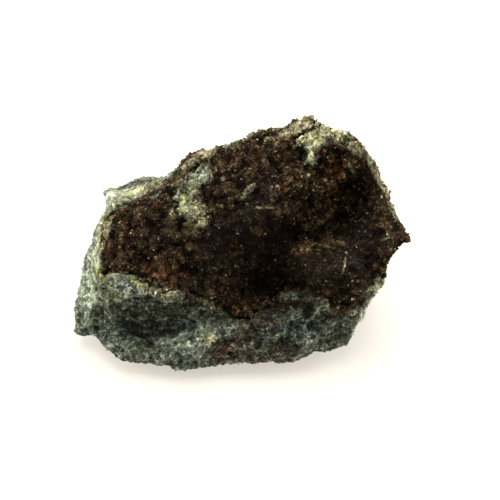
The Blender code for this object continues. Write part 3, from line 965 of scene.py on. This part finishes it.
# %% Crowds of splinters
SPLINTERS = {"spacing": 0.36, "sizes": (0.18, 0.40), "depth": 0.02}
SPLINTER_SHARE = 0.8
CRUST_CLEARANCE = 0.6
FOOT_CLEARANCE = 0.25
bare_rock = rising(from_crust, 0, CRUST_CLEARANCE) * open_rock
bare_rock *= rock_points[:, 2] > FOOT_CLEARANCE
side = rock_points[:, 0]
SIDES = {
    "left_splinters": side < -8.0,
    "middle_splinters": (side >= -8.0) & (side < 6.0),
    "right_splinters": side >= 6.0,
}
splinters = []
for number, (name, part) in enumerate(SIDES.items()):
    share = bare_rock * part * SPLINTER_SHARE
    splinters.append(strew(name, rock, share, splinter, seed=100 + 10 * number, **SPLINTERS))

# %% [markdown]
# ## Materials
# Every colour below is mixed by nodes from noise and from the painted numbers. The noise is read
# in the object's own coordinates, counted in millimetres, so a grain in the recipe has the size
# of a grain on the stone.


# %% A material and its coordinates
def new_material(name, rough, gloss):
    """A material, its node tree and its Principled shader's inputs."""
    material = bpy.data.materials.new(name)
    material.use_nodes = True
    shader = material.node_tree.nodes["Principled BSDF"]
    shader.inputs["Roughness"].default_value = rough
    shader.inputs["Specular IOR Level"].default_value = gloss
    return material, material.node_tree, shader.inputs


def millimetres(tree, stretch=(1.0, 1.0, 1.0), turn=(0.0, 0.0, 0.0)):
    """Object coordinates, counted in millimetres, and drawn out where stretch is over 1."""
    scale = tuple(1 / MM / s for s in stretch)
    places = node(tree, "ShaderNodeTexCoord")["Object"]
    turned = node(tree, "ShaderNodeMapping", {"Vector": places, "Rotation": turn})[0]
    return node(tree, "ShaderNodeMapping", {"Vector": turned, "Scale": scale})[0]


# %% Patterns
def noise(tree, places, size, detail, rough=0.6):
    """Cloudy noise whose clouds are this many millimetres across."""
    values = {"Vector": places, "Scale": 1 / size, "Detail": detail, "Roughness": rough}
    return node(tree, "ShaderNodeTexNoise", values)["Fac"]


def cells(tree, places, size):
    """Grains of this many millimetres, each with a number of its own."""
    colours = node(tree, "ShaderNodeTexVoronoi", {"Vector": places, "Scale": 1 / size})["Color"]
    return node(tree, "ShaderNodeSeparateColor", {0: colours})["Red"]


def painted(tree, name):
    """The number that was painted on the skin under this name."""
    return node(tree, "ShaderNodeAttribute", attribute_name=name)["Fac"]


def step(tree, value, low, high, bottom=0.0, top=1.0):
    """Spreads the values from low to high over the range from bottom to top."""
    limits = {"Value": value, "From Min": low, "From Max": high, "To Min": bottom, "To Max": top}
    return node(tree, "ShaderNodeMapRange", limits)[0]


def times(tree, one, other):
    return node(tree, "ShaderNodeMath", {0: one, 1: other}, operation="MULTIPLY", use_clamp=True)[0]


# %% Colours
def mixed(tree, share, under, over, way="MIX"):
    """One colour over another. The share is a number or a socket."""
    under = under if isinstance(under, bpy.types.NodeSocket) else (*under, 1.0)
    over = over if isinstance(over, bpy.types.NodeSocket) else (*over, 1.0)
    layers = {0: share, 6: under, 7: over}
    return node(tree, "ShaderNodeMix", layers, data_type="RGBA", blend_type=way)[2]


def shaded(tree, colour, value, low, high, dark, light, share=1.0):
    """A colour multiplied by dark where the value is low and by light where it is high."""
    factor = step(tree, value, low, high, dark, light)
    grey = node(tree, "ShaderNodeCombineColor", {0: factor, 1: factor, 2: factor})[0]
    return mixed(tree, share, colour, grey, "MULTIPLY")


# %% Bumps
def roughen(tree, inputs, height, depth):
    """Raises the surface a little where the height is larger. The depth is in millimetres."""
    inputs_of_bump = {"Height": height, "Distance": depth * MM, "Strength": 1.0}
    tree.links.new(node(tree, "ShaderNodeBump", inputs_of_bump)[0], inputs["Normal"])


# %% Ragged stains
STAIN_WEIGHT = 0.6
STAIN_EDGE = (0.72, 0.92)


def stain(tree, name, places, size, strength=1.0):
    """A painted number broken up by noise of this size, so that it ends in a ragged edge."""
    weighed = {0: painted(tree, name), 1: STAIN_WEIGHT}
    fading = node(tree, "ShaderNodeMath", weighed, operation="MULTIPLY")[0]
    uneven = noise(tree, places, size, 4.0, 0.8)
    together = node(tree, "ShaderNodeMath", {0: fading, 1: uneven}, operation="ADD")[0]
    return step(tree, together, *STAIN_EDGE, 0.0, strength)


# %% Winding threads
def threads(tree, places, size, width):
    """Thin threads that wind along wherever a cloudy noise passes its middle value."""
    values = noise(tree, places, size, 3.0, 0.65)
    apart = node(tree, "ShaderNodeMath", {0: values, 1: 0.5}, operation="SUBTRACT")[0]
    apart = node(tree, "ShaderNodeMath", {0: apart}, operation="ABSOLUTE")[0]
    return step(tree, apart, width, 0.0)


# %% [markdown]
# ## Green-grey rock
# The stone is a dull green-grey mass with clouds of blue, olive and russet. Over it lie the
# stains, then pale threads and flecks, and last of all light and dark. It could be one painted
# texture laid over the block, but a texture stretches where the block turns. Layers of noise
# don't, and each layer has a size that can be measured on the stone.

# %% Body of the rock
THREAD_TURN = math.radians(11)
rock_finish, tree, inputs = new_material("green_grey_rock", rough=0.85, gloss=0.04)
here = millimetres(tree)
along = millimetres(tree, stretch=(4.0, 1.0, 1.0), turn=(0.0, THREAD_TURN, -THREAD_TURN))
clouds = noise(tree, here, 3.0, 5.0)
colour = mixed(tree, step(tree, clouds, 0.38, 0.64), (0.026, 0.030, 0.025), (0.085, 0.092, 0.066))

# Each cloud is size, detail and roughness of its noise, its limits, strength and colour.
CLOUDS = {
    "blue": (2.2, 4.0, 0.6, 0.54, 0.66, 0.5, (0.075, 0.092, 0.092)),
    "olive": (4.2, 4.0, 0.6, 0.52, 0.66, 0.6, (0.11, 0.115, 0.05)),
    "russet": (2.6, 5.0, 0.75, 0.58, 0.68, 0.65, (0.065, 0.042, 0.026)),
}
for size, detail, rough, low, high, strength, tint in CLOUDS.values():
    cloud = step(tree, noise(tree, here, size, detail, rough), low, high)
    colour = mixed(tree, times(tree, cloud, strength), colour, tint)
print("the rock's body is mixed by", len(tree.nodes), "nodes")

# %% Stains of the rock
# Each stain is the size of the noise that breaks it up, its strength and its colour.
STAIN_COLOURS = {
    "pale": (0.8, 0.8, (0.40, 0.43, 0.30)),
    "mist": (0.7, 0.7, (0.22, 0.255, 0.235)),
    "cream": (0.45, 0.8, (0.44, 0.40, 0.21)),
    "lime": (0.4, 0.65, (0.17, 0.20, 0.055)),
    "seep": (0.6, 0.75, (0.095, 0.082, 0.030)),
}
# Pale: the rock's pale coat, with painted highlight on the lit ridges and edges.
colour = mixed(tree, times(tree, painted(tree, "pale"), 0.65), colour, (0.24, 0.28, 0.205))
for name, (size, strength, tint) in STAIN_COLOURS.items():
    colour = mixed(tree, stain(tree, name, here, size, strength), colour, tint)
rust_grain = step(tree, noise(tree, here, 0.4, 3.0, 0.7), 0.42, 0.62)
rusty = mixed(tree, rust_grain, (0.040, 0.029, 0.018), (0.105, 0.062, 0.038))
colour = mixed(tree, stain(tree, "rust", here, 0.6, 0.8), colour, rusty)
print("with its stains it has", len(tree.nodes), "nodes")

# %% Threads and flecks
# Some threads wind and some run one way. Pale rock is calmer, and crystals cover them all.
calmer = step(tree, painted(tree, "pale"), 0.0, 0.6, 1.0, 0.45)
broken = times(tree, step(tree, noise(tree, here, 1.1, 2.0), 0.44, 0.54), calmer)
winding = times(tree, threads(tree, here, size=0.9, width=0.035), broken)
colour = mixed(tree, times(tree, winding, 0.6), colour, (0.32, 0.36, 0.26))
running = step(tree, noise(tree, along, 0.3, 3.0, 0.75), 0.57, 0.66)
colour = mixed(tree, times(tree, running, 0.45), colour, (0.24, 0.28, 0.20))
flecks = step(tree, noise(tree, here, 0.22, 2.0, 0.75), 0.58, 0.66)
colour = mixed(tree, times(tree, flecks, 0.4), colour, (0.32, 0.35, 0.27))
colour = mixed(tree, stain(tree, "crusted", here, 0.8, 0.95), colour, (0.030, 0.018, 0.010))
print("with its threads it has", len(tree.nodes), "nodes")

# %% Light and dark on the rock
# Painted light and shade: bumps are painted paler and hollows darker, and dark pits are painted
# shade between the grains. Random clouds and grains vary the tone besides.
colour = shaded(tree, colour, painted(tree, "relief"), 0.2, 0.8, 0.45, 1.6)
colour = shaded(tree, colour, painted(tree, "form"), 0.25, 0.75, 0.45, 1.6)
colour = shaded(tree, colour, noise(tree, here, 0.8, 3.0, 0.7), 0.37, 0.63, 0.45, 1.6, calmer)
colour = shaded(tree, colour, cells(tree, here, 0.24), 0.0, 1.0, 0.45, 1.5, calmer)
# Painted shade in small pits between the grains.
pit_shade = step(tree, noise(tree, here, 0.45, 3.0, 0.75), 0.47, 0.39)
colour = mixed(tree, times(tree, pit_shade, times(tree, calmer, 0.7)), colour, (0.018, 0.021, 0.017))
# Painted shade darkens the recess and the places under ledges and shelves.
colour = mixed(tree, painted(tree, "gloom"), colour, (0.35, 0.34, 0.33), "MULTIPLY")
tree.links.new(colour, inputs["Base Color"])
roughen(tree, inputs, noise(tree, here, 0.35, 4.0, 0.8), depth=0.3)
rock.data.materials.append(rock_finish)
rock.data.shade_smooth()
for crowd in splinters:
    crowd.data.materials.append(rock_finish)
print(rock_finish.name, "has", len(tree.nodes), "nodes")

# %% [markdown]
# ## Brown crystals
# Crystals this small look like brown glass: most nearly black, some brown, and the palest few carry
# a painted glint.
# Thousands of materials could tell them apart, but the tone that each crystal drew for itself
# does the same with one. The bed under them uses the same recipe, with a tone for each grain.


# %% Brown by tone
DARKEST = (0.008, 0.0045, 0.0025)
# A painted glint: a near-white colour that stands in for light glancing off the palest few
# crystals.
PAINTED_GLINT = (0.5, 0.45, 0.35)

# Between the darkest brown and the painted glint, each brown is reached at its own tone.
BROWNS = (
    (0.40, (0.015, 0.0086, 0.0050)),
    (0.75, (0.046, 0.0280, 0.0160)),
    (0.96, (0.088, 0.062, 0.038)),
    (0.993, (0.19, 0.165, 0.12)),
)


def brown(tree, tone):
    """The crust's colour: nearly black to a painted glint by the tone, then tinted by the stains
    and given painted light and shade.
    """
    here = millimetres(tree)
    ramp = node(tree, "ShaderNodeValToRGB", {"Fac": tone})
    stops = tree.nodes[-1].color_ramp.elements
    stops[0].color = (*DARKEST, 1)
    stops[1].color = (*PAINTED_GLINT, 1)
    for tone_at, shade in BROWNS:
        stops.new(tone_at).color = (*shade, 1)
    hue = step(tree, noise(tree, here, 0.7, 4.0, 0.75), 0.42, 0.6)
    hues = mixed(tree, hue, (1.15, 0.97, 0.90), (0.92, 1.14, 0.80))
    colour = mixed(tree, 1.0, ramp[0], hues, "MULTIPLY")
    colour = mixed(tree, stain(tree, "rust", here, 0.6, 0.5), colour, (0.085, 0.035, 0.016))
    colour = mixed(tree, stain(tree, "olive", here, 0.35, 0.45), colour, (0.115, 0.10, 0.040))
    # Painted light and shade: bumps of the crust paler, hollows darker.
    colour = shaded(tree, colour, painted(tree, "relief"), 0.22, 0.8, 0.15, 1.9)
    colour = shaded(tree, colour, painted(tree, "form"), 0.25, 0.75, 0.35, 1.7)
    # Tan brightens the crystals: partly their own colour, partly painted highlight.
    colour = mixed(tree, stain(tree, "tan", here, 0.8), colour, (2.0, 1.95, 1.75), "MULTIPLY")
    colour = shaded(tree, colour, noise(tree, here, 0.9, 4.0, 0.7), 0.35, 0.65, 0.45, 1.5)

    # Painted shade darkens the dull crystals more than the palest ones, which carry the painted
    # glint.
    gloom = times(tree, painted(tree, "gloom"), step(tree, tone, 0.7, 1.0, 0.8, 0.5))
    colour = mixed(tree, gloom, colour, (0.0100, 0.0069, 0.0053))
    grain = step(tree, noise(tree, here, 0.55, 4.0, 0.8), 0.42, 0.6)
    dusty = mixed(tree, grain, (0.075, 0.058, 0.028), (0.58, 0.53, 0.32))
    return mixed(tree, stain(tree, "pale", here, 0.35, 0.85), colour, dusty)


# %% Finish of the crystals
crystal_finish, tree, inputs = new_material("brown_crystal", rough=0.4, gloss=0.06)
tree.links.new(brown(tree, painted(tree, "tone")), inputs["Base Color"])
for crowd in crowds:
    crowd.data.materials.append(crystal_finish)
print(crystal_finish.name, "has", len(tree.nodes), "nodes")

# %% Finish of the crust bed
bed_finish, tree, inputs = new_material("crust_bed", rough=0.8, gloss=0.03)
here = millimetres(tree)
specks = times(tree, cells(tree, here, 0.25), 0.8)
tree.links.new(brown(tree, specks), inputs["Base Color"])
roughen(tree, inputs, noise(tree, here, 0.3, 3.0, 0.7), depth=0.15)
crust.data.materials.append(bed_finish)
crust.data.shade_smooth()
print(bed_finish.name, "has", len(tree.nodes), "nodes")

# %% [markdown]
# ## Hand over
# The skins of the block and of the crust take the place of their solids. The crowds could each
# replace a part of a solid, but no solid stands for them, so they only say which finish they
# belong to. The stone lies still, so every piece rides on the root.

# %% Hand over
bpy.data.objects.remove(crystal)
bpy.data.objects.remove(splinter)
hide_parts("host_rock")
for piece in [rock] + splinters:
    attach(piece, "root")
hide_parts("crystal_crust")
for piece in [crust] + crowds:
    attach(piece, "root")
